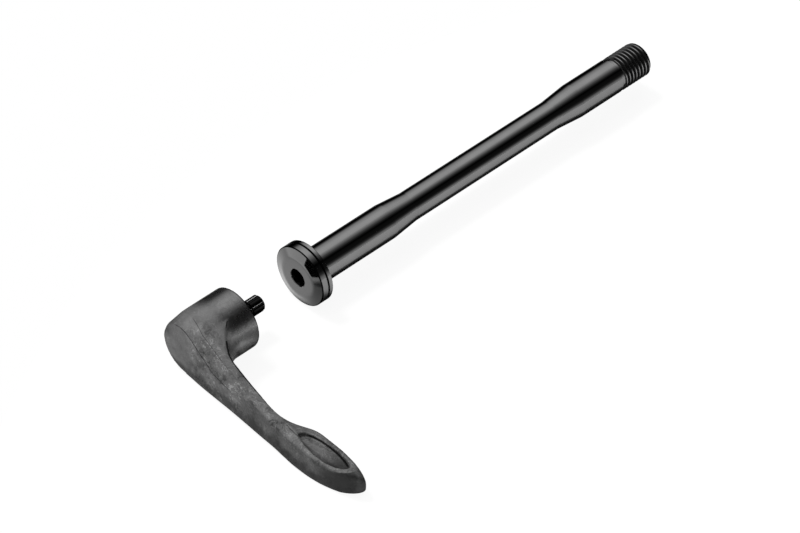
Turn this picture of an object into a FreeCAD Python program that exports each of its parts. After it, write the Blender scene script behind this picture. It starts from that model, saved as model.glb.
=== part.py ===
import FreeCAD, Part
import math
import os
import Sketcher

# Rear thru axle of 12 mm with a removable lever, lying on the floor with the lever pulled out.
# Millimetres. +X runs along the axle from the head to the thread, +Z is up.
# The origin is on the axis, in the bearing face of the washer under the head.
# The lever has a frame of its own: x outwards from the face of its boss, y along the arm, z up.

doc = FreeCAD.newDocument("rear_thru_axle")
sheet = doc.addObject("Spreadsheet::Sheet", "sizes")

DRIVING_SIZES = (
    # Head and pressure washer
    ("head_radius", 10.5),
    ("head_face_radius", 6.7),
    ("head_bevel", 0.9),
    ("head_rim", 2.6),
    ("edge_break", 0.25),
    ("washer_thickness", 1.7),
    ("washer_play", 0.1),
    ("washer_bore_clearance", 0.06),
    ("washer_recess_depth", 0.95),
    ("washer_recess_gap", 0.5),
    # Shaft
    ("shaft_radius", 6.0),
    ("grip_length", 32.0),
    ("taper_in", 10.0),
    ("waist_radius", 5.05),
    ("waist_length", 64.0),
    ("taper_out", 10.5),
    ("tail_length", 18.0),
    ("relief_depth", 0.45),
    ("relief_width", 1.5),
    ("thread_radius", 6.0),
    ("thread_length", 12.0),
    ("thread_chamfer", 0.7),
    ("bore_radius", 3.2),
    ("web_thickness", 4.0),
    ("drill_point", 1.9),
    # Ring that keeps the washer on
    ("keeper_wire", 0.6),
    ("keeper_groove_depth", 0.35),
    ("keeper_gap_angle", 40.0),
    ("keeper_inset", 0.15),
    ("ring_clearance", 0.05),
    # Six-lobe drive
    ("lobe_radius", 2.85),
    ("flute_radius", 0.75),
    ("flute_depth", 0.42),
    ("lobe_turn", 30.0),
    ("drive_clearance", 0.08),
    ("socket_depth", 10.6),
    ("socket_countersink", 0.35),
    # Bit in the lever
    ("nose_length", 9.6),
    ("nose_chamfer", 0.55),
    ("shank_flats", 6.0),
    ("shank_length", 14.0),
    ("clip_wire", 0.5),
    ("clip_place", 4.8),
    ("clip_gap_angle", 50.0),
    # Insert moulded into the lever
    ("insert_radius", 6.2),
    ("insert_length", 15.0),
    ("insert_edge", 0.4),
    ("bond_gap", 0.05),
    # Lever
    ("lever_pull", 25.35),
    ("boss_radius", 10.5),
    ("boss_length", 21.35),
    ("boss_edge_length", 2.6),
    ("boss_edge_drop", 1.1),
    ("boss_face_edge", 0.3),
    ("arm_length", 75.9),
    ("arm_splay", 3.3),
    ("arm_root_thickness", 6.1),
    ("neck_place", 38.0),
    ("neck_thickness", 4.9),
    ("neck_rise", 0.7),
    ("arm_fillet", 10.0),
    ("arm_drop_angle", 22.0),
    ("arm_edge", 0.9),
    ("arm_draft", 1.5),
    ("seam_step", 0.12),
    ("band_length", 40.0),
    ("band_inset", 5.6),
    ("band_end_inset", 1.1),
    ("band_root_drop", 1.3),
    ("band_drop", 10.0),
    ("paddle_place", 52.0),
    ("paddle_width", 11.1),
    ("paddle_height", 8.5),
    ("paddle_slope", 1.3),
    ("tip_offset", 7.6),
    ("tip_rise", 3.2),
    ("tip_round", 4.6),
    ("tip_keel", 7.5),
    ("pocket_start", 48.4),
    ("pocket_end", 69.1),
    ("pocket_root_rim", 5.0),
    ("pocket_tip_rim", 2.6),
    ("pocket_near_bulge", 3.25),
    ("pocket_far_bulge", 3.35),
    ("pocket_depth", 1.4),
)


def fill_sheet():
    """Write each driving size into its cell and give the cell its name."""
    for row, (name, value) in enumerate(DRIVING_SIZES, start=1):
        sheet.set(f"A{row}", name)
        sheet.set(f"B{row}", str(value))
        sheet.setAlias(f"B{row}", name)
    doc.recompute()


fill_sheet()


class Dim:
    """A length that knows both its expression over the sheet and its present value."""

    def __init__(self, text, value):
        self.text = text
        self.value = value

    def __add__(self, other):
        return Dim(f"{self.text} + {other.text}", self.value + other.value)

    def __sub__(self, other):
        return Dim(f"{self.text} - ({other.text})", self.value - other.value)

    def times(self, factor):
        return Dim(f"({self.text}) * {factor}", self.value * factor)


def dim(name):
    return Dim(f"sizes.{name}", float(sheet.get(name)))


def size(name):
    return float(sheet.get(name))


ZERO = Dim("0", 0.0)


def origin_plane(body, role):
    for feature in body.Origin.OriginFeatures:
        if feature.Role == role:
            return feature
    raise ValueError(role)


def pin_vertex(sketch, edge, across, up):
    """Hold the start of a line at its distances from the two axes of the sketch."""
    for kind, axis, length in (("DistanceX", -2, across), ("DistanceY", -1, up)):
        if length is ZERO:
            sketch.addConstraint(Sketcher.Constraint("PointOnObject", edge, 1, axis))
        else:
            index = sketch.addConstraint(Sketcher.Constraint(kind, -1, 1, edge, 1, length.value))
            sketch.setExpression(f"Constraints[{index}]", length.text)


def turned_body(name, outline):
    """A piece turned about its x axis. The outline is a closed list of (x, radius)."""
    body = doc.addObject("PartDesign::Body", name)
    sketch = body.newObject("Sketcher::SketchObject", name + "_outline")
    sketch.AttachmentSupport = [(origin_plane(body, "XY_Plane"), "")]
    sketch.MapMode = "FlatFace"
    corners = [FreeCAD.Vector(across.value, up.value, 0) for across, up in outline]
    count = len(corners)
    for index in range(count):
        sketch.addGeometry(Part.LineSegment(corners[index], corners[(index + 1) % count]), False)
    for index in range(count):
        following = (index + 1) % count
        sketch.addConstraint(Sketcher.Constraint("Coincident", index, 2, following, 1))
    for index, (across, up) in enumerate(outline):
        pin_vertex(sketch, index, across, up)
    turned = body.newObject("PartDesign::Revolution", name + "_turned")
    turned.Profile = sketch
    turned.ReferenceAxis = (sketch, ["H_Axis"])
    turned.Angle = 360.0
    body.Tip = turned
    return body


def bound(kind, name, **expressions):
    """A primitive of the given kind with its properties tied to expressions."""
    thing = doc.addObject(kind, name)
    for prop, expression in expressions.items():
        thing.setExpression(prop, expression)
    return thing


def lay_along_x(thing, start):
    """Turn a primitive whose axis is z so that it runs along +x from the given start."""
    quarter_turn = FreeCAD.Rotation(FreeCAD.Vector(0, 1, 0), 90)
    thing.Placement = FreeCAD.Placement(FreeCAD.Vector(0, 0, 0), quarter_turn)
    thing.setExpression("Placement.Base.x", start.text)
    return thing


def rod_along_x(name, start, length, radius):
    return lay_along_x(bound("Part::Cylinder", name, Radius=radius.text, Height=length.text), start)


def cut(name, base, tool):
    result = doc.addObject("Part::Cut", name)
    result.Base = base
    result.Tool = tool
    return result


def fuse(name, pieces):
    result = doc.addObject("Part::MultiFuse", name)
    result.Shapes = pieces
    return result


def six_flutes(name, start, length, pitch_radius, flute_radius, side):
    """Six rods round the x axis, which leave a six-lobe form when cut from a round bar.

    The lever's frame is turned half round, so side is -1 in the axle's frame and 1 in the lever's.
    """
    rods = []
    for index in range(6):
        rod = rod_along_x(f"{name}_{index + 1}", start, length, flute_radius)
        angle = f"({side} * sizes.lobe_turn + {60 * index + 30}) * 1deg"
        rod.setExpression("Placement.Base.y", f"({pitch_radius.text}) * sin({angle})")
        rod.setExpression("Placement.Base.z", f"({pitch_radius.text}) * cos({angle})")
        rods.append(rod)
    return fuse(name, rods)


# Places along the axle, from the flat of the head.
head_front = dim("head_bevel")
head_back = head_front + dim("head_rim")
bearing_face = head_back + dim("washer_play") + dim("washer_thickness")
grip_end = bearing_face + dim("grip_length")
waist_start = grip_end + dim("taper_in")
waist_end = waist_start + dim("waist_length")
tail_start = waist_end + dim("taper_out")
tail_end = tail_start + dim("tail_length")
thread_start = tail_end + dim("relief_width")
thread_end = thread_start + dim("thread_length")
bore_end = dim("socket_depth") + dim("web_thickness")

# The ring that keeps the washer on sits in a groove inside the washer's rear recess.
# The groove ends level with the bearing face, where the plain shank starts.
keeper_back = bearing_face - dim("keeper_inset")
keeper_front = keeper_back - dim("keeper_wire")
keeper_floor = dim("shaft_radius") - dim("keeper_groove_depth")
keeper_play = dim("ring_clearance")


def make_axle_shaft():
    """The axle: head, waisted hollow shaft and threaded end turned from one bar, with a six-lobe socket."""
    head, rim, shaft = dim("head_face_radius"), dim("head_radius"), dim("shaft_radius")
    waist, thread = dim("waist_radius"), dim("thread_radius")
    relief = thread - dim("relief_depth")
    broken = dim("edge_break")
    outline = [
        (ZERO, ZERO),
        (ZERO, head),
        (head_front, rim),
        (head_back - broken, rim),
        (head_back, rim - broken),
        (head_back, shaft),
        (keeper_front - keeper_play, shaft),
        (keeper_front - keeper_play, keeper_floor),
        (bearing_face, keeper_floor),
        (bearing_face, shaft),
        (grip_end, shaft),
        (waist_start, waist),
        (waist_end, waist),
        (tail_start, shaft),
        (tail_end, shaft),
        (tail_end, relief),
        (thread_start, relief),
        (thread_start, thread),
        (thread_end - dim("thread_chamfer"), thread),
        (thread_end, thread - dim("thread_chamfer")),
        (thread_end, dim("bore_radius")),
        (bore_end, dim("bore_radius")),
        (bore_end - dim("drill_point"), ZERO),
    ]
    turned = turned_body("axle_turned", outline)
    clearance = dim("drive_clearance")
    lobe = dim("lobe_radius") + clearance
    pitch = dim("lobe_radius") + dim("flute_radius") - dim("flute_depth")
    blank = rod_along_x("socket_blank", ZERO, dim("socket_depth"), lobe)
    ribs = six_flutes("socket_ribs", ZERO, dim("socket_depth"), pitch, dim("flute_radius") - clearance, -1)
    lobes = cut("socket_lobes", blank, ribs)
    mouth = dim("socket_countersink")
    flare = bound("Part::Cone", "socket_mouth", Radius1=(lobe + mouth).text, Radius2=(lobe - mouth).text,
                  Height=mouth.times(2).text)
    socket = fuse("socket_cutter", [lobes, lay_along_x(flare, ZERO)])
    axle = cut("axle_shaft", turned, socket)
    axle.setExpression("Placement.Base.x", f"-({bearing_face.text})")
    return axle


def make_thrust_washer():
    """The loose washer that bears on the frame, recessed behind for the ring that keeps it on."""
    rim, broken = dim("head_radius"), dim("edge_break")
    bore = dim("shaft_radius") + dim("washer_bore_clearance")
    recess = dim("shaft_radius") + dim("keeper_wire") - dim("keeper_groove_depth") + dim("washer_recess_gap")
    thick = dim("washer_thickness")
    step = thick - dim("washer_recess_depth")
    outline = [
        (ZERO, bore),
        (ZERO, rim - broken),
        (broken, rim),
        (thick - broken, rim),
        (thick, rim - broken),
        (thick, recess),
        (step, recess),
        (step, bore),
    ]
    washer = turned_body("thrust_washer", outline)
    washer.setExpression("Placement.Base.x", f"-({thick.text})")
    return washer


def split_ring(name, inner, wire, gap_angle):
    """A ring of square wire about the x axis, open at the top."""
    outer = inner + wire
    ring = cut(name + "_whole", rod_along_x(name + "_disc", ZERO, wire, outer),
               rod_along_x(name + "_hole", ZERO, wire, inner))
    gap = bound("Part::Cylinder", name + "_gap", Radius=outer.times(2).text, Height=wire.text,
                Angle=f"sizes.{gap_angle}")
    opening = lay_along_x(gap, ZERO)
    spin = FreeCAD.Rotation(FreeCAD.Vector(1, 0, 0), -size(gap_angle) / 2)
    opening.Placement.Rotation = spin.multiply(gap_up())
    return cut(name, ring, opening)


def gap_up():
    """The turn that lays a wedge of a cylinder along x with its first side straight up."""
    along_x = FreeCAD.Rotation(FreeCAD.Vector(0, 1, 0), 90)
    return FreeCAD.Rotation(FreeCAD.Vector(1, 0, 0), 180).multiply(along_x)


def make_washer_keeper():
    """The split wire ring that stops the washer sliding off down the shaft."""
    ring = split_ring("washer_keeper", keeper_floor + keeper_play, dim("keeper_wire"), "keeper_gap_angle")
    ring.setExpression("Placement.Base.x", "-(sizes.keeper_inset + sizes.keeper_wire)")
    return ring


# The lever's frame is turned half round about z, with its x pointing away from the axle.
lever_face = bearing_face + dim("lever_pull")
HALF_TURN = FreeCAD.Rotation(FreeCAD.Vector(0, 0, 1), 180)


def place_in_lever(thing, inwards=None):
    """Put a piece in the lever's frame, moved towards the axle by a length."""
    thing.Placement = FreeCAD.Placement(FreeCAD.Vector(0, 0, 0), HALF_TURN)
    text = f"-({lever_face.text})"
    if inwards is not None:
        text += f" + {inwards.text}"
    thing.setExpression("Placement.Base.x", text)
    return thing


clip_outer_radius = dim("lobe_radius") - dim("flute_depth") - dim("ring_clearance")
clip_floor_radius = clip_outer_radius - dim("clip_wire") - dim("ring_clearance")


def make_lever_bit():
    """The six-lobe bit with its clip groove, one piece with the hexagon shank held in the insert."""
    lobe, nose = dim("lobe_radius"), dim("nose_length")
    play = dim("ring_clearance")
    groove_front = dim("clip_place") - play
    groove_back = dim("clip_place") + dim("clip_wire") + play
    outline = [
        (ZERO, ZERO),
        (ZERO, lobe - dim("nose_chamfer")),
        (dim("nose_chamfer"), lobe),
        (groove_front, lobe),
        (groove_front, clip_floor_radius),
        (groove_back, clip_floor_radius),
        (groove_back, lobe),
        (nose, lobe),
        (nose, ZERO),
    ]
    turned = turned_body("bit_nose", outline)
    pitch = dim("lobe_radius") + dim("flute_radius") - dim("flute_depth")
    flutes = six_flutes("bit_flutes", ZERO, nose, pitch, dim("flute_radius"), 1)
    shank = bound("Part::Prism", "bit_shank", Circumradius="sizes.shank_flats / 2 / cos(30deg)",
                  Height="sizes.shank_length")
    shank.Polygon = 6
    bit = fuse("lever_bit", [cut("bit_lobes", turned, flutes), lay_along_x(shank, nose)])
    return place_in_lever(bit, nose)


def make_bit_clip():
    """The split wire ring that holds the bit in the socket by a light grip on its ribs."""
    inner = clip_outer_radius - dim("clip_wire")
    ring = split_ring("bit_clip", inner, dim("clip_wire"), "clip_gap_angle")
    return place_in_lever(ring, dim("nose_length") - dim("clip_place"))


def make_lever_insert():
    """The metal sleeve moulded into the boss, with the hexagon hole for the bit's shank."""
    radius, edge, length = dim("insert_radius"), dim("insert_edge"), dim("insert_length")
    outline = [
        (ZERO, ZERO),
        (ZERO, radius - edge),
        (edge, radius),
        (length - edge, radius),
        (length, radius - edge),
        (length, ZERO),
    ]
    sleeve = turned_body("insert_turned", outline)
    hexagon = bound("Part::Prism", "insert_hexagon",
                    Circumradius="(sizes.shank_flats / 2 + sizes.bond_gap) / cos(30deg)",
                    Height="sizes.shank_length + sizes.bond_gap")
    hexagon.Polygon = 6
    insert = cut("lever_insert", sleeve, lay_along_x(hexagon, ZERO))
    return place_in_lever(insert)


# The form of the lever, in its own frame: x outwards, y along the arm, z up.
# The places and amounts come from the sheet. These powers set how full each line is.
TOP_FALL = 1.5
TIP_SWEEP = 0.62
INNER_RETURN = 1.9
BAND_TAPER = 1.9
SOFT_SHARE = 0.7
NEAR_FULLNESS = (0.97, 0.545)
FAR_FULLNESS = (0.32, 0.655)
# Shares of a length at which a change starts or ends, and of a thickness that an edge may take.
NECK_RISE_END = 0.7
DRAFT_START = 0.2
DRAFT_LOSS = 0.75
BAND_STEADY = 0.17
EDGE_SHARE = 0.2
BLUNT_TIP = 0.9985
# How many steps each shape is drawn in.
EVEN_SECTIONS = 14
CLOSING_SECTIONS = 7
SIDE_STEPS = 16
BAND_SECTIONS = 14
POCKET_STEPS = 12


def ease(start, end, place):
    """0 before start, 1 after end, and an even S between."""
    share = min(max((place - start) / (end - start), 0.0), 1.0)
    return share * share * (3 - 2 * share)


def quarter_round(start, end, place):
    """0 before start, then the rise of a quarter circle up to 1 at end."""
    share = min(max((place - start) / (end - start), 0.0), 1.0)
    return 1 - math.sqrt(1 - share * share)


def swell(share, early, late):
    """A bulge over 0 to 1 with height 1 at its fullest place, which the two powers set."""
    fullest = early / (early + late)
    height = fullest ** early * (1 - fullest) ** late
    return share ** early * (1 - share) ** late / height


def root_place():
    """Where the arm's top leaves the boss, as a tangent at the drop angle."""
    angle = math.radians(size("arm_drop_angle"))
    return size("boss_radius") * math.sin(angle), size("boss_radius") * math.cos(angle)


def pad_top():
    return size("paddle_height") - size("boss_radius")


def top_line(y):
    """Height of the top of the boss and arm in side view."""
    radius = size("boss_radius")
    root_y, root_z = root_place()
    if y <= root_y:
        return math.sqrt(max(radius ** 2 - y ** 2, 0.0))
    drop = root_z - pad_top()
    reach = TOP_FALL * drop / math.tan(math.radians(size("arm_drop_angle")))
    share = min((y - root_y) / reach, 1.0)
    crown = size("arm_length") - size("tip_round")
    rounding = size("tip_rise") * quarter_round(crown, size("arm_length"), y)
    return pad_top() + drop * (1 - share) ** TOP_FALL - rounding


def bottom_line(y):
    """Height of the underside, which touches the floor at the boss and the paddle only."""
    rise = ease(0, size("neck_place") * NECK_RISE_END, y)
    fall = 1 - ease(size("neck_place"), size("paddle_place"), y)
    curl = quarter_round(size("arm_length") - size("tip_keel"), size("arm_length"), y)
    return -size("boss_radius") + size("neck_rise") * rise * fall + size("tip_rise") * curl


def outer_line(y):
    """Outer side of the arm in plan, which splays outwards and then sweeps in to the tip."""
    splay = size("arm_splay") * min(max(y, 0) / size("paddle_place"), 1.0)
    bend = size("paddle_place") + size("tip_round") / 2
    share = min(max((y - bend) / (size("arm_length") - bend), 0.0), 1.0)
    sweep = size("tip_offset") * (1 - (1 - share ** 2) ** TIP_SWEEP)
    return size("boss_length") + splay - sweep


def inner_line(y):
    """Inner side of the arm in plan: straight to the neck, then flared to the paddle."""
    root = size("boss_length") - size("arm_root_thickness")
    neck_place, paddle_place = size("neck_place"), size("paddle_place")
    neck = outer_line(neck_place) - size("neck_thickness")
    if y <= neck_place:
        return root + (neck - root) * y / neck_place
    flare = outer_line(paddle_place) - size("paddle_width")
    tip = size("boss_length") + size("arm_splay") - size("tip_offset")
    late = min(max((y - paddle_place) / (size("arm_length") - paddle_place), 0.0), 1.0)
    return neck + (flare - neck) * ease(neck_place, paddle_place, y) + (tip - flare) * late ** INNER_RETURN


def outer_draft(y):
    """How far the top edge of the outer side leans in from its foot."""
    neck, paddle = size("neck_place"), size("paddle_place")
    comes = ease(neck * DRAFT_START, neck, y)
    goes = ease(paddle, size("arm_length"), y) * DRAFT_LOSS
    return min(size("arm_draft") * comes * (1 - goes), (outer_line(y) - inner_line(y)) / 3)


def pocket_place(share, bulge, fullness):
    """A point on one side of the pocket's leaf, at a share of its length."""
    start, end = size("pocket_start"), size("pocket_end")
    first = inner_line(start) + size("pocket_root_rim")
    last = inner_line(end) + size("pocket_tip_rim")
    across = first + (last - first) * share + bulge * swell(share, *fullness)
    return FreeCAD.Vector(across, start + (end - start) * share, 0)


def ridge_line(y):
    """Place across the arm of the crease between its top strip and the sloping thumb face."""
    neck, start, end = size("neck_place"), size("pocket_start"), size("pocket_end")
    foot = inner_line(neck)
    root = inner_line(start) + size("pocket_root_rim")
    if y <= neck:
        return inner_line(y)
    if y <= start:
        short = (start - y) / (start - neck)
        return root + (foot - root) * short * short
    share = min((y - start) / (end - start), 1.0)
    hidden = size("pocket_near_bulge") - size("seam_step") * 2
    middle = (outer_line(y) - outer_draft(y) + inner_line(y)) / 2
    late = ease(start + (end - start) / 2, end, y)
    return pocket_place(share, hidden, NEAR_FULLNESS).x * (1 - late) + middle * late


def thumb_drop(y):
    """How far the inner edge of the thumb face lies below its crease."""
    fade = ease(size("paddle_place"), size("pocket_end") + size("tip_round"), y)
    return size("paddle_slope") * ease(size("neck_place"), size("pocket_start"), y) * (1 - fade)


def rounded_section(corners, y):
    """A closed wire in the plane at y through corners (x, z, radius). Radius 0 leaves a crease."""
    points = [FreeCAD.Vector(x, y, z) for x, z, radius in corners]
    count = len(points)
    arcs, starts, ends = [], [], []
    for index, (x, z, radius) in enumerate(corners):
        here = points[index]
        before = (points[index - 1] - here).normalize()
        after = (points[(index + 1) % count] - here).normalize()
        if radius == 0:
            starts.append(here)
            ends.append(here)
            arcs.append(None)
            continue
        half = before.getAngle(after) / 2
        reach = radius / math.tan(half)
        starts.append(here + before * reach)
        ends.append(here + after * reach)
        middle = here + (before + after).normalize() * (radius / math.sin(half) - radius)
        arcs.append(Part.Arc(starts[-1], middle, ends[-1]).toShape())
    edges = []
    for index in range(count):
        if arcs[index] is not None:
            edges.append(arcs[index])
        edges.append(Part.LineSegment(ends[index], starts[(index + 1) % count]).toShape())
    return Part.Wire(edges)


def arm_top(y):
    """Top of the arm alone, which starts below the boss's surface and comes up to the top line."""
    root_y, root_z = root_place()
    line = top_line(y)
    if y < root_y:
        line = root_z + (root_y - y) * math.tan(math.radians(size("arm_drop_angle"))) / 4
    return line - size("seam_step") * (1 - ease(root_y, size("boss_radius"), y))


def arm_bottom(y):
    """Underside of the arm alone, which starts inside the boss."""
    return bottom_line(y) + 2 * size("seam_step") * (1 - ease(0, size("boss_radius"), y))


def arm_section(y):
    """Outline of the arm across its length at y."""
    outer, inner = outer_line(y), inner_line(y)
    leaning = outer - outer_draft(y)
    top, bottom = arm_top(y), arm_bottom(y)
    edge = min(size("arm_edge"), min(leaning - inner, top - bottom) * EDGE_SHARE)
    ridge = max(ridge_line(y), inner + edge)
    soft = min(edge, leaning - ridge) * SOFT_SHARE
    corners = [
        (outer, bottom, edge),
        (leaning, top, soft),
        (ridge, top, 0),
        (inner, top - thumb_drop(y), min(soft, ridge - inner) * SOFT_SHARE),
        (inner, bottom, edge),
    ]
    return rounded_section(corners, y)


def arm_stations():
    """Places of the arm's sections: even along the arm, closing up towards the tip."""
    bend = (size("paddle_place") + size("arm_length")) / 2
    tip = size("arm_length") * BLUNT_TIP
    even = [bend * step / EVEN_SECTIONS for step in range(EVEN_SECTIONS + 1)]
    turns = [math.pi / 2 * step / CLOSING_SECTIONS for step in range(1, CLOSING_SECTIONS + 1)]
    return even + [bend + (tip - bend) * math.sin(turn) for turn in turns]


def make_arm():
    """The arm and paddle, lofted through rounded sections."""
    sections = [arm_section(y) for y in arm_stations()]
    return Part.makeLoft(sections, True, False)


def smooth_edge(points):
    curve = Part.BSplineCurve()
    curve.interpolate(points)
    return curve.toShape()


def side_prism():
    """The side view of boss and arm, drawn across the lever and kept a hair inside its surface."""
    steps = [size("paddle_place") * step / SIDE_STEPS for step in range(SIDE_STEPS + 1)]
    upper = [FreeCAD.Vector(0, y, arm_top(y) - size("seam_step")) for y in steps]
    lower = [FreeCAD.Vector(0, y, arm_bottom(y) + size("seam_step")) for y in steps]
    edges = [
        smooth_edge(upper),
        Part.LineSegment(upper[-1], lower[-1]).toShape(),
        smooth_edge(lower[::-1]),
        Part.LineSegment(lower[0], upper[0]).toShape(),
    ]
    return Part.Face(Part.Wire(edges)).extrude(FreeCAD.Vector(size("boss_length"), 0, 0))


def make_fillet_web():
    """The large hollow fillet between boss and arm, kept to the arm's side view."""
    hollow = size("arm_fillet")
    low = size("boss_radius") - size("seam_step") / 2
    wall = inner_line(low + hollow)
    inside = wall + size("neck_thickness") / 2
    start = FreeCAD.Vector(wall - hollow, low, 0)
    end = FreeCAD.Vector(wall, low + hollow, 0)
    middle = math.radians(45)
    waist = FreeCAD.Vector(start.x + hollow * math.sin(middle), end.y - hollow * math.cos(middle), 0)
    corners = [
        end,
        FreeCAD.Vector(inside, end.y, 0),
        FreeCAD.Vector(inside, 0, 0),
        FreeCAD.Vector(start.x, 0, 0),
        start,
    ]
    edges = [Part.Arc(start, waist, end).toShape()]
    for first, second in zip(corners, corners[1:]):
        edges.append(Part.LineSegment(first, second).toShape())
    ring = Part.Face(Part.Wire(edges)).revolve(FreeCAD.Vector(0, 0, 0), FreeCAD.Vector(1, 0, 0), 360)
    return ring.common(side_prism())


def band_edges(y):
    """The two edges of the flat band along the outer top corner, as (x, z) pairs."""
    along = (y + size("boss_radius")) / size("band_length")
    inset = size("band_end_inset") + size("band_inset") * max(1 - along, 0.0) ** BAND_TAPER
    widening = max(along - BAND_STEADY, 0.0) / (1 - BAND_STEADY)
    drop = size("band_root_drop") + (size("band_drop") - size("band_root_drop")) * widening
    return (outer_line(y) - inset, top_line(y)), (outer_line(y), top_line(y) - drop)


def make_band_cutter():
    """What is planed off the outer top corner of boss and arm, with room to spare on both sides."""
    clear = size("boss_radius") / 2
    over = 0.3
    start = -size("boss_radius")
    sections = []
    for step in range(BAND_SECTIONS + 1):
        y = start + size("band_length") * step / BAND_SECTIONS
        (near, high), (far, low) = band_edges(y)
        upper = (near + (near - far) * over, high + (high - low) * over)
        lower = (far + (far - near) * over, low + (low - high) * over)
        ceiling = high + clear
        side = outer_line(y) + clear
        ring = [upper, (upper[0], ceiling), (side, ceiling), (side, lower[1]), lower]
        points = [FreeCAD.Vector(x, y, z) for x, z in ring]
        sections.append(Part.makePolygon(points + points[:1]))
    return Part.makeLoft(sections, True, True)


def make_pocket_cutter():
    """The leaf-shaped dish in the thumb face, square to the face."""
    shares = [(1 - math.cos(math.pi * step / POCKET_STEPS)) / 2 for step in range(POCKET_STEPS + 1)]
    near = [pocket_place(share, size("pocket_near_bulge"), NEAR_FULLNESS) for share in shares]
    far = [pocket_place(share, -size("pocket_far_bulge"), FAR_FULLNESS) for share in shares]
    leaf = Part.Face(Part.Wire([smooth_edge(near), smooth_edge(far[::-1])]))
    middle = (size("pocket_start") + size("pocket_end")) / 2
    slope = math.atan2(thumb_drop(middle), ridge_line(middle) - inner_line(middle))
    depth = size("pocket_depth")
    cutter = leaf.extrude(FreeCAD.Vector(0, 0, 3 * depth))
    cutter.translate(FreeCAD.Vector(0, 0, pad_top() - depth))
    hinge = FreeCAD.Vector(ridge_line(middle), middle, pad_top())
    cutter.rotate(hinge, FreeCAD.Vector(0, 1, 0), -math.degrees(slope))
    return cutter


def shaped(name, shape):
    """A piece whose form comes from its own construction above."""
    piece = doc.addObject("Part::Feature", name)
    piece.Shape = shape
    return piece


def make_lever_body():
    """The moulded lever: boss, arm and paddle in one piece, bored blind for the insert."""
    boss, drop = dim("boss_radius"), dim("boss_edge_drop")
    length, taper, edge = dim("boss_length"), dim("boss_edge_length"), dim("boss_face_edge")
    outline = [
        (ZERO, ZERO),
        (ZERO, boss - edge),
        (edge, boss),
        (length - taper, boss),
        (length, boss - drop),
        (length, ZERO),
    ]
    body = fuse("lever_whole", [
        turned_body("lever_boss", outline),
        shaped("lever_arm", make_arm()),
        shaped("lever_web", make_fillet_web()),
    ])
    bore = rod_along_x("insert_bore", ZERO, dim("insert_length") + dim("bond_gap"),
                       dim("insert_radius") + dim("bond_gap"))
    cutters = fuse("lever_cutters", [
        shaped("band_cutter", make_band_cutter()),
        shaped("pocket_cutter", make_pocket_cutter()),
        bore,
    ])
    return place_in_lever(cut("lever_body", body, cutters))


PIECES = [
    make_axle_shaft(),
    make_thrust_washer(),
    make_washer_keeper(),
    make_lever_body(),
    make_lever_insert(),
    make_lever_bit(),
    make_bit_clip(),
]


def check_model():
    """Stop if any object failed to build or any piece is empty or unsound."""
    doc.recompute()
    for thing in doc.Objects:
        if "Invalid" in thing.State or "Error" in thing.State:
            raise RuntimeError(f"{thing.Name} failed: {thing.State}")
    for piece in PIECES:
        if piece.Shape.isNull() or not piece.Shape.isValid():
            raise RuntimeError(f"{piece.Name} is not a sound solid")


def write_pieces():
    """Write each piece to a file named for it, and print its measures."""
    os.makedirs("parts", exist_ok=True)
    for piece in PIECES:
        piece.Label = piece.Name
        piece.Shape.exportStep(f"parts/{piece.Label}.step")
        box = piece.Shape.BoundBox
        print(f"{piece.Label}: solids {len(piece.Shape.Solids)}, volume {piece.Shape.Volume:.1f}, "
              f"x {box.XMin:.2f} to {box.XMax:.2f}, y {box.YMin:.2f} to {box.YMax:.2f}, "
              f"z {box.ZMin:.2f} to {box.ZMax:.2f}")


check_model()
write_pieces()
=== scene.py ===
# %% [markdown]
# # A rear thru axle with a lever that pulls out
# The object is a black 12 mm axle that clamps a bicycle's rear wheel, and a short moulded lever
# whose six-lobe bit turns it. The CAD pieces come in as a fixed frame. This lesson dresses them:
# each piece is either rebuilt with its fine detail, or keeps its shape and gets its finish.

# %% Tools and the CAD frame
import bmesh
import bpy
import math
from mathutils import Matrix, Vector
from mathutils.kdtree import KDTree


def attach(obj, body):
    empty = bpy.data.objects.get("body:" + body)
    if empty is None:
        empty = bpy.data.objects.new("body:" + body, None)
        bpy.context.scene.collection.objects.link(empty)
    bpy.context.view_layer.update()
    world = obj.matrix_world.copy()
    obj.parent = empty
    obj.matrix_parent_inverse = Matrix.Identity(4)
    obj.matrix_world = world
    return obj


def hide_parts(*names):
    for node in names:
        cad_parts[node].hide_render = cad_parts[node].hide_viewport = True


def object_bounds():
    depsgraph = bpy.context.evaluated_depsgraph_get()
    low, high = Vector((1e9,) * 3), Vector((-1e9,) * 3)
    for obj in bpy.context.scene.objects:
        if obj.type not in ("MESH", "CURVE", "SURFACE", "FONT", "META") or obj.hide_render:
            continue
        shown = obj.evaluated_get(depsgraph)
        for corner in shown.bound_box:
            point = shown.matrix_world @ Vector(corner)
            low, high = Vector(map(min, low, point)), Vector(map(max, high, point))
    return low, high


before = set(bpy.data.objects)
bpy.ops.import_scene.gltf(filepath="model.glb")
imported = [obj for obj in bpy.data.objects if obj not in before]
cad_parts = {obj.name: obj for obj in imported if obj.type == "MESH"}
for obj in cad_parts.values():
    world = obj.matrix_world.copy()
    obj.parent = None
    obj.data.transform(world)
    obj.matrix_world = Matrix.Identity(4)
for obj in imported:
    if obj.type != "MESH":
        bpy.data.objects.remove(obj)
cad_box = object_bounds()
scene = bpy.context.scene
scene.view_settings.view_transform = "Standard"
MM = 0.001

# %% [markdown]
# ## Camera
# The picture was taken with a long lens from the head's side, well above the floor. A camera fitted
# to the outlines of the axle gives the three directions below. The alternative, aiming by eye with
# a Track To constraint, never matches a shaft this straight.

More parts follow.
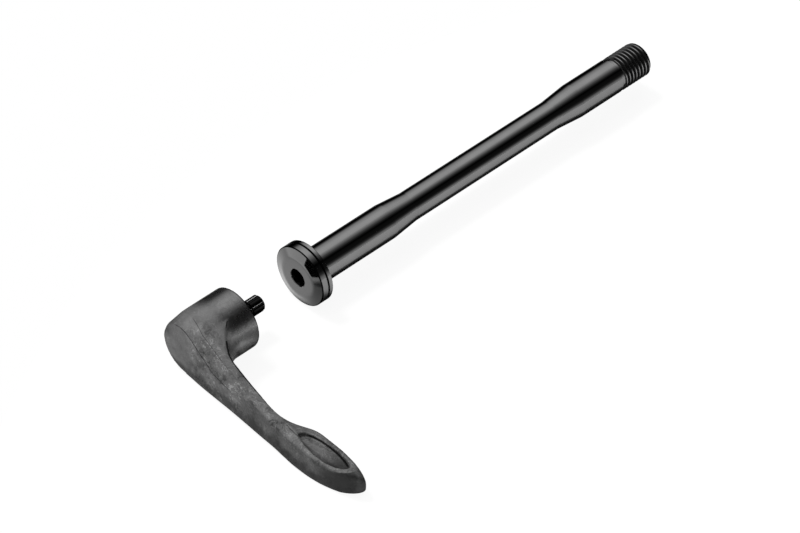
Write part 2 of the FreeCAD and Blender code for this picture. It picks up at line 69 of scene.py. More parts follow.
# %% Camera from its fitted directions
CAMERA_PLACE = Vector((-598.036, -658.428, 816.340)) * MM
CAMERA_RIGHT = Vector((0.71883, -0.69518, 0.0))
CAMERA_UP = Vector((0.46976, 0.48574, 0.73716))
CAMERA_BACK = Vector((-0.51246, -0.52990, 0.67573))
LENS_MM = 175.5


def make_camera():
    data = bpy.data.cameras.new("long_lens")
    data.lens = LENS_MM
    data.sensor_width = 36.0
    camera = bpy.data.objects.new("camera", data)
    turn = Matrix((CAMERA_RIGHT, CAMERA_UP, CAMERA_BACK)).transposed()
    camera.matrix_world = Matrix.Translation(CAMERA_PLACE) @ turn.to_4x4()
    scene.collection.objects.link(camera)
    scene.camera = camera


make_camera()
print("camera is", round(CAMERA_PLACE.length, 3), "m from the bearing face")

# %% [markdown]
# ## Node sums as Python sums
# Every finish here is a small calculation over the surface. Written as nodes placed one by one it
# would be unreadable, so a socket is wrapped in a class whose operators add the Math nodes.

# %% A socket that joins in sums


class Wire:
    """An output socket that takes part in Python sums."""

    def __init__(self, graph, socket):
        self.graph = graph
        self.socket = socket

    def math(self, operation, *values):
        sockets = dict(enumerate((self, *values)))
        return self.graph.add("ShaderNodeMath", {"operation": operation}, sockets)[0]

    def __add__(self, other):
        return self.math("ADD", other)

    def __mul__(self, other):
        return self.math("MULTIPLY", other)

    def __sub__(self, other):
        return self.math("SUBTRACT", other)

    def __rsub__(self, other):
        return self.graph.value(other).math("SUBTRACT", self)

    def __truediv__(self, other):
        return self.math("DIVIDE", other)

    def __pow__(self, other):
        return self.math("POWER", other)


print("wires take + - * / and **")

# %% A tree that makes nodes


class Made:
    """A node that was added. Its outputs come back as wires, by name or by number."""

    def __init__(self, graph, node):
        self.graph = graph
        self.node = node

    def __getitem__(self, output):
        return Wire(self.graph, self.node.outputs[output])


class Graph:
    """A node tree that is filled from Python."""

    def __init__(self, tree):
        self.tree = tree
        self.tree.nodes.clear()

    def add(self, kind, settings=None, sockets=None):
        """Adds a node: its settings first, then a value or a wire for each socket."""
        node = self.tree.nodes.new(kind)
        for name, value in (settings or {}).items():
            if name == "stops":
                self.set_stops(node.color_ramp, value)
            else:
                setattr(node, name, value)
        for key, value in (sockets or {}).items():
            if isinstance(value, Wire):
                self.tree.links.new(value.socket, node.inputs[key])
            else:
                node.inputs[key].default_value = value
        return Made(self, node)

    def set_stops(self, ramp, stops):
        """Fills a colour ramp with (place, grey level) pairs."""
        while len(ramp.elements) > 1:
            ramp.elements.remove(ramp.elements[-1])
        for index, (place, level) in enumerate(stops):
            element = ramp.elements[0] if index == 0 else ramp.elements.new(place)
            element.position = place
            element.color = (level, level, level, 1.0)

    def value(self, number):
        node = self.add("ShaderNodeValue")
        node.node.outputs[0].default_value = number
        return node[0]

    def smooth(self, wire, low, high, start=0.0, end=1.0, kind="SMOOTHSTEP"):
        """Maps low..high of a wire to start..end, held flat outside."""
        node = self.add("ShaderNodeMapRange", {"interpolation_type": kind}, {
            "Value": wire, "From Min": low, "From Max": high, "To Min": start, "To Max": end})
        return node["Result"]

    def mix(self, factor, first, second):
        """Mixes two colours."""
        node = self.add("ShaderNodeMix", {"data_type": "RGBA"}, {0: factor, 6: first, 7: second})
        return node[2]

    def vector(self, operation, *values):
        node = self.add("ShaderNodeVectorMath", {"operation": operation}, dict(enumerate(values)))
        return node[0]


print("graphs make nodes, soft steps and colour mixes")

# %% Greys and places


def grey(level):
    return (level, level, level, 1.0)


def object_mm(graph, stretch=(1.0, 1.0, 1.0)):
    """Object coordinates in millimetres, stretched along each axis."""
    place = graph.add("ShaderNodeTexCoord")["Object"]
    scale = tuple(part / MM for part in stretch)
    return graph.add("ShaderNodeMapping", None, {"Vector": place, "Scale": scale})["Vector"]


print("middle grey:", grey(0.5))

# %% [markdown]
# ## Light
# The real set was a dark studio with two big soft boxes: one over and behind the axle, one low on
# its near side. Polished black metal only shows what it mirrors, so those boxes and the dark gaps
# between them are drawn straight into the world as a pattern over the direction round the axle.
# Area lamps could do it too, but a gradient with soft and hard ends is easier to write as a ramp.

# %% World: two soft boxes with dark gaps, white to the camera
# Each pair is an angle round the x axis, from straight up towards -y, and how bright it is there.
ROUND_THE_AXLE = (
    (-180, 0.75), (-142, 0.5), (-120, 0.2), (-106, 0.05), (-94, 0.0), (-80, 0.0), (-70, 0.14),
    (-58, 0.8), (-46, 1.02), (-34, 1.24), (-22, 1.27), (-10, 1.2), (2, 0.64), (14, 0.22),
    (26, 0.04), (36, 0.0), (44, 0.012), (64, 0.02), (74, 0.1), (86, 0.62), (98, 0.86), (110, 1.0),
    (160, 0.95), (180, 0.75),
)
BRIGHTEST = 1.28
# Two walls close the ends of the set: how bright, and from and to which x of the direction.
HEAD_END_WALL = (0.75, -0.65, -0.85)
THREAD_END_WALL = (0.015, 0.62, 0.82)


def make_world():
    world = bpy.data.worlds.new("studio")
    world.use_nodes = True
    graph = Graph(world.node_tree)
    direction = graph.add("ShaderNodeTexCoord")["Generated"]
    parts = graph.add("ShaderNodeSeparateXYZ", None, {0: direction})
    turn = (parts["Y"] * -1.0).math("ARCTAN2", parts["Z"])
    place = turn / (2 * math.pi) + 0.5
    stops = [((angle + 180) / 360, level / BRIGHTEST) for angle, level in ROUND_THE_AXLE]
    boxes = graph.add("ShaderNodeValToRGB", {"stops": stops}, {0: place})["Color"]
    level, start, full = HEAD_END_WALL
    boxes = graph.mix(graph.smooth(parts["X"], start, full), boxes, grey(level / BRIGHTEST))
    level, start, full = THREAD_END_WALL
    boxes = graph.mix(graph.smooth(parts["X"], start, full), boxes, grey(level))
    seen = graph.add("ShaderNodeLightPath")["Is Camera Ray"]
    lit = graph.add("ShaderNodeBackground", None, {"Color": boxes, "Strength": BRIGHTEST})
    white = graph.add("ShaderNodeBackground", None, {"Color": grey(1.0), "Strength": 1.0})
    both = graph.add("ShaderNodeMixShader", None, {0: seen, 1: lit[0], 2: white[0]})
    graph.add("ShaderNodeOutputWorld", None, {"Surface": both[0]})
    scene.world = world


make_world()
print("world has", len(ROUND_THE_AXLE), "steps of light round the axle")

# %% [markdown]
# The boxes alone leave matt surfaces a little dark, so a wide soft sun from over the far side
# fills them up to a plain level. It is hidden from mirror-like rays, or it would show as a disc.

# %% Fill lamp
FILL_FROM = Vector((-0.08, 0.47, 0.88))
FILL_STRENGTH = 1.9
FILL_DEGREES = 12


def make_fill():
    data = bpy.data.lights.new("fill", "SUN")
    data.energy = FILL_STRENGTH
    data.angle = math.radians(FILL_DEGREES)
    lamp = bpy.data.objects.new("fill", data)
    lamp.rotation_euler = FILL_FROM.to_track_quat("Z", "Y").to_euler()
    lamp.visible_glossy = False
    scene.collection.objects.link(lamp)


make_fill()
print("fill lamp from", tuple(round(part, 2) for part in FILL_FROM))

# %% [markdown]
# ## Floor
# A pale disc catches the shadow. The camera sees it glow as white paper would, with some of the
# lit surface mixed in, so that the shadow stays. What the metal mirrors is the same paper with
# painted light and shade: a painted glow under the lever, painted shade on the near side of the
# head, a painted shadow darkest right under the shaft, where neither soft box reaches, and painted
# shade far behind it. One even floor would be simpler, but polished metal then looks grey all over.

# %% Floor disc
FLOOR_CENTRE = Vector((0.05, -0.21))
FLOOR_RADIUS = 0.28
FLOOR_STEPS = 96
FLOOR_DROP = 0.02 * MM


def floor_disc(height):
    mesh = bpy.data.meshes.new("floor")
    rim = []
    for step in range(FLOOR_STEPS):
        turn = 2 * math.pi * step / FLOOR_STEPS
        rim.append((FLOOR_CENTRE.x + FLOOR_RADIUS * math.cos(turn),
                    FLOOR_CENTRE.y + FLOOR_RADIUS * math.sin(turn), height))
    mesh.from_pydata(rim, [], [list(range(FLOOR_STEPS))])
    floor = bpy.data.objects.new("floor", mesh)
    scene.collection.objects.link(floor)
    return floor


floor = floor_disc(cad_box[0].z - FLOOR_DROP)
print("floor at", round(cad_box[0].z / MM, 3), "mm")

# %% Paper
# Each pair is a place across the floor in mm, and how bright the shaft mirrors it there: a painted
# shadow, darkest right under the shaft.
PAINTED_SHADOW_ACROSS = (
    (-14, 1.0), (-10, 0.6), (-8, 0.3), (-6.5, 0.35), (-5, 0.55), (-2, 0.66), (2, 0.7), (16, 0.57),
    (32, 0.45), (57, 0.31), (80, 0.25),
)
PAPER = 0.8
PAPER_GLOW = 0.925
SHADOW_PART = 0.1
# Along the floor in mm, from and to: the shaft's painted shadow begins, the lever's painted glow
# begins, and the stretch over which the painted shade at the head's side grows from dim to bright.
SHAFT_EDGE = (1.0, 6.0)
LEVER_EDGE = (-22.0, -30.0)
HEAD_SHADE_STRETCH = (-25.0, 5.0, 0.68, 1.02)
# Painted shade across the floor beside the head: the near side is less than half as bright.
NEAR_SHADE_STRETCH = (-6.0, 2.0, 0.45, 1.0)
PAINTED_LEVER_GLOW = 0.5


def mirrored_paper(graph):
    """What mirror-like rays see of the floor: painted shade and shadow, and a painted glow, by
    place.
    """
    place = graph.add("ShaderNodeSeparateXYZ", None, {0: object_mm(graph)})
    first, last = PAINTED_SHADOW_ACROSS[0][0], PAINTED_SHADOW_ACROSS[-1][0]
    stops = [((y - first) / (last - first), level) for y, level in PAINTED_SHADOW_ACROSS]
    across = graph.add("ShaderNodeValToRGB", {"stops": stops},
                       {0: graph.smooth(place["Y"], first, last, kind="LINEAR")})["Color"]
    lever_side = graph.smooth(place["X"], *LEVER_EDGE)
    near_side_shade = graph.smooth(place["Y"], *NEAR_SHADE_STRETCH).math("MAXIMUM", lever_side)
    painted_head_shade = near_side_shade * graph.smooth(place["X"], *HEAD_SHADE_STRETCH)
    painted_shade = graph.mix(graph.smooth(place["X"], *SHAFT_EDGE), painted_head_shade, across)
    matt = graph.add("ShaderNodeBsdfDiffuse", None, {"Color": painted_shade})
    # Painted glow: the floor under the lever glows a little for mirror-like rays.
    painted_glow = graph.add("ShaderNodeEmission", None, {
        "Color": lever_side * PAINTED_LEVER_GLOW, "Strength": 1.0})
    return graph.add("ShaderNodeAddShader", None, {0: matt[0], 1: painted_glow[0]})


def white_paper():
    material = bpy.data.materials.new("white_paper")
    material.use_nodes = True
    graph = Graph(material.node_tree)
    rays = graph.add("ShaderNodeLightPath")
    shown = rays["Is Camera Ray"].math("MAXIMUM", rays["Is Transmission Ray"])
    paper = graph.add("ShaderNodeBsdfDiffuse", None, {"Color": grey(PAPER)})
    faint = graph.add("ShaderNodeBsdfDiffuse", None, {"Color": grey(SHADOW_PART)})
    glow = graph.add("ShaderNodeEmission", None, {"Color": grey(1.0), "Strength": PAPER_GLOW})
    bright = graph.add("ShaderNodeAddShader", None, {0: faint[0], 1: glow[0]})
    mirrored = mirrored_paper(graph)
    inner = graph.add("ShaderNodeMixShader", None,
                      {0: rays["Is Glossy Ray"], 1: paper[0], 2: mirrored[0]})
    outer = graph.add("ShaderNodeMixShader", None, {0: shown, 1: inner[0], 2: bright[0]})
    graph.add("ShaderNodeOutputMaterial", None, {"Surface": outer[0]})
    return material


floor.data.materials.append(white_paper())
print("the shaft mirrors", len(PAINTED_SHADOW_ACROSS), "steps across the floor")

# %% [markdown]
# ## Finishes
# Black anodising on turned aluminium: dark, glossy, with the faint rings that the cutting tool
# leaves round the shaft. The rings are a noise that changes fast along the axis and hardly at all
# round it. They move the roughness and a very small bump. The head's turned face is a second,
# brighter mirror with a clear coat, mixed in by its place along the axis.

# %% Finish helpers


def new_material(name):
    material = bpy.data.materials.new(name)
    material.use_nodes = True
    return material, Graph(material.node_tree)


def principled(graph, **sockets):
    """Adds a Principled shader. Its sockets are named with _ for a space."""
    named = {key.replace("_", " "): value for key, value in sockets.items()}
    return graph.add("ShaderNodeBsdfPrincipled", None, named)


def finish_material(graph, **sockets):
    """Adds one Principled shader and the output."""
    shader = principled(graph, **sockets)
    graph.add("ShaderNodeOutputMaterial", None, {"Surface": shader[0]})


def noise(graph, place, scale, detail=2.0, roughness=0.5):
    return graph.add("ShaderNodeTexNoise", None, {
        "Vector": place, "Scale": scale, "Detail": detail, "Roughness": roughness})[0]


def axis_parts(graph):
    """Place along x, place along y and distance from the x axis, in millimetres."""
    parts = graph.add("ShaderNodeSeparateXYZ", None, {0: object_mm(graph)})
    away = (parts["Y"] * parts["Y"] + parts["Z"] * parts["Z"]).math("SQRT")
    return parts["X"], parts["Y"], away


def band(graph, wire, low, high, soft):
    """One between low and high, fading to zero over soft outside them."""
    return graph.smooth(wire, low - soft, low) * graph.smooth(wire, high, high + soft, 1.0, 0.0)


print("materials so far:", [material.name for material in bpy.data.materials])

# %% Anodised aluminium
BLACK = grey(0.006)
RING_STRETCH = (1.0, 0.03, 0.03)
# Places along the axis in mm: the gap under the head, the line at the bevel's foot, the socket,
# all three black with painted shade, and where the bevel and the face end. Each band is from, to
# and softness.
HEAD_GAP = (-2.05, -1.38, 0.06)
BEVEL_FOOT = (-4.41, -4.05, 0.03)
SOCKET_SPAN = (-5.05, 6.0, 0.2)
SOCKET_EDGE = (3.4, 3.2)
FACE_END = (-4.42, -4.45)
# The thread: where it begins, where its end face begins, how far out its crests reach, and where
# its far side, grey with painted light, begins.
THREAD_MOUTH = (135.9, 136.1)
THREAD_FACE = (147.1, 147.3)
BELOW_CREST = (5.985, 5.94)
LIT_SIDE_SPAN = (0.8, 2.4)


def thread_painted_shade(graph, x, y, away):
    """Painted shade leaves only the crests bright: where the thread is matt and painted dark, and
    where it is matt and grey with painted light.
    """
    end = graph.smooth(x, *THREAD_FACE)
    painted_lit_side = graph.smooth(y, *LIT_SIDE_SPAN) * (1.0 - end)
    groove = graph.smooth(away, *BELOW_CREST).math("MAXIMUM", painted_lit_side)
    return graph.smooth(x, *THREAD_MOUTH) * groove.math("MAXIMUM", end), painted_lit_side


def anodised(name, level, shine):
    material, graph = new_material(name)
    rings = noise(graph, object_mm(graph, RING_STRETCH), 9.0, 3.0, 0.7)
    clouds = noise(graph, object_mm(graph), 0.12, 3.0)
    tone = graph.smooth(clouds * 0.6 + rings * 0.4, 0.3, 0.7, kind="LINEAR")
    colour = graph.mix(tone, grey(level * 0.93), grey(level * 1.07))
    x, y, away = axis_parts(graph)
    lines = band(graph, x, *HEAD_GAP).math("MAXIMUM", band(graph, x, *BEVEL_FOOT))
    socket = band(graph, x, *SOCKET_SPAN) * graph.smooth(away, *SOCKET_EDGE)
    # Painted shade: black in the gap under the head, along the bevel's foot and down the socket.
    colour = graph.mix(lines.math("MAXIMUM", socket), colour, BLACK)
    shaded_groove, painted_lit_side = thread_painted_shade(graph, x, y, away)
    # Painted shade: the grooves and the end are black and matt; painted light makes the far side
    # grey.
    colour = graph.mix(shaded_groove, colour, graph.mix(painted_lit_side, grey(0.01), grey(0.06)))
    bump = graph.add("ShaderNodeBump", None, {
        "Strength": 0.12, "Distance": 0.004 * MM, "Height": rings})
    rough = rings * 0.05 + (shine - 0.025) + socket * 0.4 + shaded_groove * 0.35
    body = principled(graph, Base_Color=colour, Metallic=1.0 - shaded_groove, Specular_Tint=grey(0.32),
                      Roughness=rough, Normal=bump[0])
    # Painted shade: the socket is black in the turned face's shader too.
    turned = principled(graph, Base_Color=graph.mix(socket, grey(0.1), BLACK), Metallic=1.0,
                        Coat_Weight=0.9, Coat_Roughness=0.03, Roughness=rings * 0.02 + 0.04,
                        Normal=bump[0])
    face = graph.smooth(x, *FACE_END) * (1.0 - socket)
    both = graph.add("ShaderNodeMixShader", None, {0: face, 1: body[0], 2: turned[0]})
    graph.add("ShaderNodeOutputMaterial", None, {"Surface": both[0]})
    return material


shaft_finish = anodised("black_anodised", 0.2, 0.07)
washer_finish = anodised("washer_anodised", 0.215, 0.09)
print("finishes:", shaft_finish.name, washer_finish.name)

# %% [markdown]
# ## Turned pieces
# The axle and its washer are lathe work. A Screw modifier on a drawn profile would give the round
# parts, but not the six-lobe socket in the head. So a ring of points is made at each station along
# the axis, each point free to have its own radius, and neighbouring rings are joined.

# %% Rings of points joined into one skin
COLUMNS = 144
TURNS = [2 * math.pi * step / COLUMNS for step in range(COLUMNS)]
# A ring of points stands this far outside each rounding, to keep the flat beside it flat.
GUARD = 1.3
NO_RADIUS = 1e-9


def rounded_profile(corners, steps=4):
    """Puts an arc in place of each corner (x, radius, rounding) of a profile, in millimetres."""
    placed = []
    last = len(corners) - 1
    for index, (x, radius, rounding) in enumerate(corners):
        here = Vector((x, radius))
        if rounding == 0 or index in (0, last):
            placed.append(here)
            continue
        before = (Vector(corners[index - 1][:2]) - here).normalized()
        after = (Vector(corners[index + 1][:2]) - here).normalized()
        half = before.angle(after) / 2
        reach = rounding / math.tan(half)
        centre = here + (before + after).normalized() * (rounding / math.sin(half))
        placed.append(here + before * reach * GUARD)
        start, end = here + before * reach - centre, here + after * reach - centre
        sweep = math.atan2(start.cross(end), start.dot(end))
        for step in range(steps + 1):
            turn = math.atan2(start.y, start.x) + sweep * step / steps
            placed.append(centre + Vector((math.cos(turn), math.sin(turn))) * rounding)
        placed.append(here + after * reach * GUARD)
    return [(point.x, point.y) for point in placed]


def ring_points(mesh, ring):
    """One point for each column, or the same one for all where the ring has no radius."""
    if max(radius for _, radius in ring) < NO_RADIUS:
        return [mesh.verts.new((ring[0][0] * MM, 0, 0))] * COLUMNS
    points = []
    for (x, radius), turn in zip(ring, TURNS):
        across, up = radius * MM * math.sin(turn), radius * MM * math.cos(turn)
        points.append(mesh.verts.new((x * MM, across, up)))
    return points


def skin_from_rings(name, rings, closed=False, gap=None):
    """Joins rings of (x, radius) per column. The strip after ring number gap is left open."""
    mesh = bmesh.new()
    made = [ring_points(mesh, ring) for ring in rings]
    pairs = list(zip(made, made[1:]))
    if closed:
        pairs.append((made[-1], made[0]))
    for number, (first, second) in enumerate(pairs):
        if number == gap:
            continue
        for column in range(COLUMNS):
            following = (column + 1) % COLUMNS
            corners = [first[column], second[column], second[following], first[following]]
            unique = list(dict.fromkeys(corners))
            if len(unique) > 2:
                mesh.faces.new(unique)
    data = bpy.data.meshes.new(name)
    mesh.to_mesh(data)
    mesh.free()
    piece = bpy.data.objects.new(name, data)
    scene.collection.objects.link(piece)
    return piece


def plain_ring(x, radius):
    return [(x, radius)] * COLUMNS


def set_smooth(piece, degrees):
    """Smooth shading, with edges sharper than the angle left crisp."""
    piece.data.shade_smooth()
    piece.data.set_sharp_from_angle(angle=math.radians(degrees))


print("each ring has", COLUMNS, "points")

# %% [markdown]
# The socket and the bit share one outline: a round bar with six round flutes in it. For a point of
# the ring, the radius is the bar's, or where a flute's circle comes nearer the axis, the flute's.

# %% Six-lobe outline
FLUTE_PITCH = 3.18
LOBE_RADIUS = 2.85
FLUTE_RADIUS = 0.75
DRIVE_CLEARANCE = 0.08
SIXTH = math.pi / 3


def lobed(turn, lobe, flute):
    """Radius of the six-lobe outline at an angle. A flute sits at every 60 degrees from the top."""
    off = (turn + SIXTH / 2) % SIXTH - SIXTH / 2
    reach = flute ** 2 - (FLUTE_PITCH * math.sin(off)) ** 2
    if reach <= 0:
        return lobe
    return min(lobe, FLUTE_PITCH * math.cos(off) - math.sqrt(reach))


# Degrees from a flute's middle to where its circle meets the bar: the corner of a lobe.
LOBE_CORNER = math.degrees(math.acos(
    (FLUTE_PITCH ** 2 + LOBE_RADIUS ** 2 - FLUTE_RADIUS ** 2) / (2 * FLUTE_PITCH * LOBE_RADIUS)))
SOCKET = [lobed(turn, LOBE_RADIUS + DRIVE_CLEARANCE, FLUTE_RADIUS - DRIVE_CLEARANCE)
          for turn in TURNS]
BIT = [lobed(turn, LOBE_RADIUS, FLUTE_RADIUS) for turn in TURNS]
print("socket is", round(2 * min(SOCKET), 2), "to", round(2 * max(SOCKET), 2), "mm across")

# %% [markdown]
# ## Axle
# One bar of aluminium: a domed-off head with the socket, a shaft that is thinner in its middle, and
# a threaded end with a bore. The profile below runs from the floor of the socket, over the outside,
# to the end of the bore. The thread's strip is left open for the next step.

# %% Axle skin
HEAD_FACE = -5.3
HEAD_RADIUS = 10.5
SHAFT_RADIUS = 6.0
WAIST_RADIUS = 5.05
KEEPER_RADIUS = 5.65
BORE_RADIUS = 3.2
SOCKET_FLOOR = 5.3
MOUTH = 3.28
THREAD_START = 136.0
THREAD_END = 148.0
RELIEF_RADIUS = 5.55
END_RING = 4.9


def axle_rings():
    # A hair of depth more keeps the countersink's edge off the ribs' crests.
    mouth = [(HEAD_FACE + MOUTH - radius, radius) for radius in SOCKET]
    rings = [plain_ring(SOCKET_FLOOR, 0.0)]
    rings += [[(SOCKET_FLOOR, radius * share) for radius in SOCKET] for share in (0.6, 1.0)]
    rings += [[(SOCKET_FLOOR - 0.15, radius) for radius in SOCKET]]
    rings += [[(x + 0.06, radius) for x, radius in mouth], mouth]
    outside = rounded_profile([
        (HEAD_FACE, MOUTH, 0), (HEAD_FACE, 6.9, 5.0), (-4.35, HEAD_RADIUS, 0.3),
        (-1.8, HEAD_RADIUS, 0.3), (-1.8, SHAFT_RADIUS, 0.1), (-0.8, SHAFT_RADIUS, 0.04),
        (-0.8, KEEPER_RADIUS, 0.04), (0.0, KEEPER_RADIUS, 0.04), (0.0, SHAFT_RADIUS, 0.05),
        (32.0, SHAFT_RADIUS, 5.0), (42.0, WAIST_RADIUS, 5.0), (106.0, WAIST_RADIUS, 5.0),
        (116.5, SHAFT_RADIUS, 5.0), (134.5, SHAFT_RADIUS, 0.08), (134.5, RELIEF_RADIUS, 0.1),
        (THREAD_START, RELIEF_RADIUS, 0)])
    rings += [plain_ring(x, radius) for x, radius in outside]
    gap = len(rings) - 1
    inside = rounded_profile([
        (THREAD_END, END_RING, 0), (THREAD_END, BORE_RADIUS, 0.25), (9.1, BORE_RADIUS, 0.1),
        (7.2, 0.0, 0)])
    rings += [plain_ring(x, radius) for x, radius in inside]
    return rings, gap


rings, gap = axle_rings()
axle = skin_from_rings("axle", rings, gap=gap)
print("axle skin:", len(rings), "rings,", len(axle.data.polygons), "faces")

# %% [markdown]
# ## Thread
# M12 by 1.5: a 60 degree groove that climbs 1.5 mm a turn for eight turns. It follows a rule, so
# Geometry Nodes make it. A grid is rolled round the axis with its rows slanted along the helix, and
# each point's radius follows from how far it is, in turns, from the nearest crest. Cutting a swept
# triangle out with a Boolean would be slower and leaves slivers where the groove runs out.

# %% Thread tree
THREAD_INPUTS = {
    "Start": THREAD_START * MM, "Length": (THREAD_END - THREAD_START) * MM, "Pitch": 1.5 * MM,
    "Outer Radius": SHAFT_RADIUS * MM, "Relief Radius": RELIEF_RADIUS * MM,
    "End Radius": END_RING * MM, "Chamfer": 0.7 * MM,
}
ROWS_A_TURN = 16
TURN_COUNT = 8
ROWS = (TURN_COUNT + 1) * ROWS_A_TURN
WELD_DISTANCE = 0.002 * MM
# From a crest's middle, in turns: where the flank begins and ends, and its depth in pitches. Then
# the same for the round at the root.
FLANK = (0.12, 0.385, 0.0, 0.5413)
ROOT = (0.375, 0.5, 0.0, 0.072)


def float_input(tree, name, value):
    socket = tree.interface.new_socket(name, in_out="INPUT", socket_type="NodeSocketFloat")
    socket.default_value = value
    return socket.identifier


def thread_radius(graph, given, along, turn):
    """Radius of the thread at a distance along it and a share of a turn."""
    pitch, outer = given["Pitch"], given["Outer Radius"]
    off = ((along / pitch + turn + 0.5).math("FRACT") - 0.5).math("ABSOLUTE")
    flank = graph.smooth(off, *FLANK, kind="LINEAR")
    root = graph.smooth(off, *ROOT)
    cut = outer - (flank + root) * pitch
    lead_in = graph.smooth(along / pitch, 0.0, 1.0, kind="LINEAR")
    lowest = given["Relief Radius"] - lead_in * pitch
    chamfered = outer - (along - given["Length"] + given["Chamfer"]).math("MAXIMUM", 0.0)
    return cut.math("MAXIMUM", lowest).math("MINIMUM", chamfered)


def meet_the_skin(given, radius, row):
    """Gives the first row the relief's radius and the last row the end's."""
    half_row = 0.5 / ROWS
    first = row.math("LESS_THAN", half_row)
    final = row.math("GREATER_THAN", 1.0 - half_row)
    radius = radius * (1.0 - first - final) + given["Relief Radius"] * first
    return radius + given["End Radius"] * final


def rolled_grid(graph, given):
    """A flat grid, rolled round the axis with its rows slanted along the helix."""
    grid = graph.add("GeometryNodeMeshGrid", None, {
        "Size X": 1.0, "Size Y": 1.0, "Vertices X": ROWS + 1, "Vertices Y": COLUMNS + 1})
    flat = graph.add("ShaderNodeSeparateXYZ", None, {0: graph.add("GeometryNodeInputPosition")[0]})
    row, turn = flat["X"] + 0.5, flat["Y"] + 0.5
    along = (row * (TURN_COUNT + 1) - turn) * given["Pitch"]
    along = along.math("MAXIMUM", 0.0).math("MINIMUM", given["Length"])
    radius = meet_the_skin(given, thread_radius(graph, given, along, turn), row)
    angle = turn * (2 * math.pi)
    place = graph.add("ShaderNodeCombineXYZ", None, {
        0: given["Start"] + along,
        1: radius * angle.math("SINE"),
        2: radius * angle.math("COSINE")})
    return graph.add("GeometryNodeSetPosition", None, {
        "Geometry": grid["Mesh"], "Position": place[0]})


def thread_tree(material):
    tree = bpy.data.node_groups.new("rolled_thread", "GeometryNodeTree")
    tree.interface.new_socket("Geometry", in_out="INPUT", socket_type="NodeSocketGeometry")
    tree.interface.new_socket("Geometry", in_out="OUTPUT", socket_type="NodeSocketGeometry")
    keys = {name: float_input(tree, name, value) for name, value in THREAD_INPUTS.items()}
    graph = Graph(tree)
    given = graph.add("NodeGroupInput")
    joined = graph.add("GeometryNodeJoinGeometry", None, {0: rolled_grid(graph, given)[0]})
    tree.links.new(given["Geometry"].socket, joined.node.inputs[0])
    merged = graph.add("GeometryNodeMergeByDistance", None, {
        "Geometry": joined[0], "Distance": WELD_DISTANCE})
    painted = graph.add("GeometryNodeSetMaterial", None, {
        "Geometry": merged[0], "Material": material})
    graph.add("NodeGroupOutput", None, {0: painted[0]})
    return tree, keys


def apply_tree(piece, tree, keys, values):
    """Runs a tree on a piece and keeps the result as a plain mesh."""
    modifier = piece.modifiers.new(tree.name, "NODES")
    modifier.node_group = tree
    for name, value in values.items():
        modifier[keys[name]] = value
    evaluated = piece.evaluated_get(bpy.context.evaluated_depsgraph_get())
    result = bpy.data.meshes.new_from_object(evaluated)
    piece.modifiers.remove(modifier)
    piece.data = result
    result.name = piece.name


tree, keys = thread_tree(shaft_finish)
apply_tree(axle, tree, keys, THREAD_INPUTS)
set_smooth(axle, 32)
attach(axle, "axle")
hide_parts("axle_shaft")
print("axle with its thread:", len(axle.data.polygons), "faces")

# %% [markdown]
# ## Washer
# A loose ring under the head that bears on the frame. Its rear is recessed for the spring ring that
# keeps it on. Its edges are broken, and light caught in those tiny rounds draws its outline.

# %% Washer
WASHER_FACE = -1.7
WASHER_BORE = 6.06
RECESS_FLOOR = -0.95
RECESS_RADIUS = 6.75


def make_washer():
    corners = [(WASHER_FACE, WASHER_BORE, 0.06), (WASHER_FACE, HEAD_RADIUS, 0.25),
               (0.0, HEAD_RADIUS, 0.25), (0.0, RECESS_RADIUS, 0.08),
               (RECESS_FLOOR, RECESS_RADIUS, 0.05), (RECESS_FLOOR, WASHER_BORE, 0.05)]
    looped = [corners[-1], *corners, corners[0]]
    outline = rounded_profile(looped)[1:-1]
    rings = [plain_ring(x, radius) for x, radius in outline]
    washer = skin_from_rings("washer", rings, closed=True)
    washer.data.materials.append(washer_finish)
    set_smooth(washer, 40)
    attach(washer, "washer")
    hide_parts("thrust_washer")
    return washer


washer = make_washer()
print("washer:", len(washer.data.polygons), "faces")

# %% [markdown]
# ## Bit
# The steel bit has the same six lobes, a chamfered nose, a groove for its spring clip, and a
# hexagon shank that is bonded into the lever. It is skinned from rings like the axle. A thin band
# of painted highlight lies beside each lobe's corner, and the corners are found by their angle.

# %% Black steel
# The band beside a lobe's corner with its painted highlight, in degrees from the flute's middle,
# and how far out it begins, in mm.
PAINTED_GLINT = (LOBE_CORNER - 0.5, LOBE_CORNER + 1.8, 0.5)
ON_THE_LOBE = (2.6, 2.7)


def black_steel():
    material, graph = new_material("black_steel")
    speck = noise(graph, object_mm(graph, (0.3, 1.0, 1.0)), 3.0, 4.0)
    colour = graph.mix(speck, grey(0.008), grey(0.02))
    parts = graph.add("ShaderNodeSeparateXYZ", None, {0: object_mm(graph)})
    turn = parts["Y"].math("ARCTAN2", parts["Z"])
    off = ((turn / SIXTH + 12.5).math("FRACT") - 0.5) * math.degrees(SIXTH)
    _, _, away = axis_parts(graph)
    painted_glint = band(graph, off, *PAINTED_GLINT) * graph.smooth(away, *ON_THE_LOBE)
    # Painted highlight: a thin bright band beside each lobe's corner.
    colour = graph.mix(painted_glint, colour, grey(0.6))
    bump = graph.add("ShaderNodeBump", None, {
        "Strength": 0.15, "Distance": 0.01 * MM, "Height": speck})
    finish_material(graph, Base_Color=colour, Metallic=1.0, Roughness=speck * 0.1 + 0.16,
                    Specular_Tint=grey(0.15), Normal=bump[0])
    return material


bit_finish = black_steel()
print("finish:", bit_finish.name)

# %% Bit
NOSE = -21.05
NOSE_RADIUS = 2.3
NOSE_CHAMFER = 0.55
CLIP_GROOVE = (-25.8, -26.4)
CLIP_FLOOR = 1.83
BOSS_FACE = -30.65
SHANK_END = -44.65
SHANK_HALF_FLATS = 3.0


def lobes(x, radius):
    return [(x, min(radius, outline)) for outline in BIT]


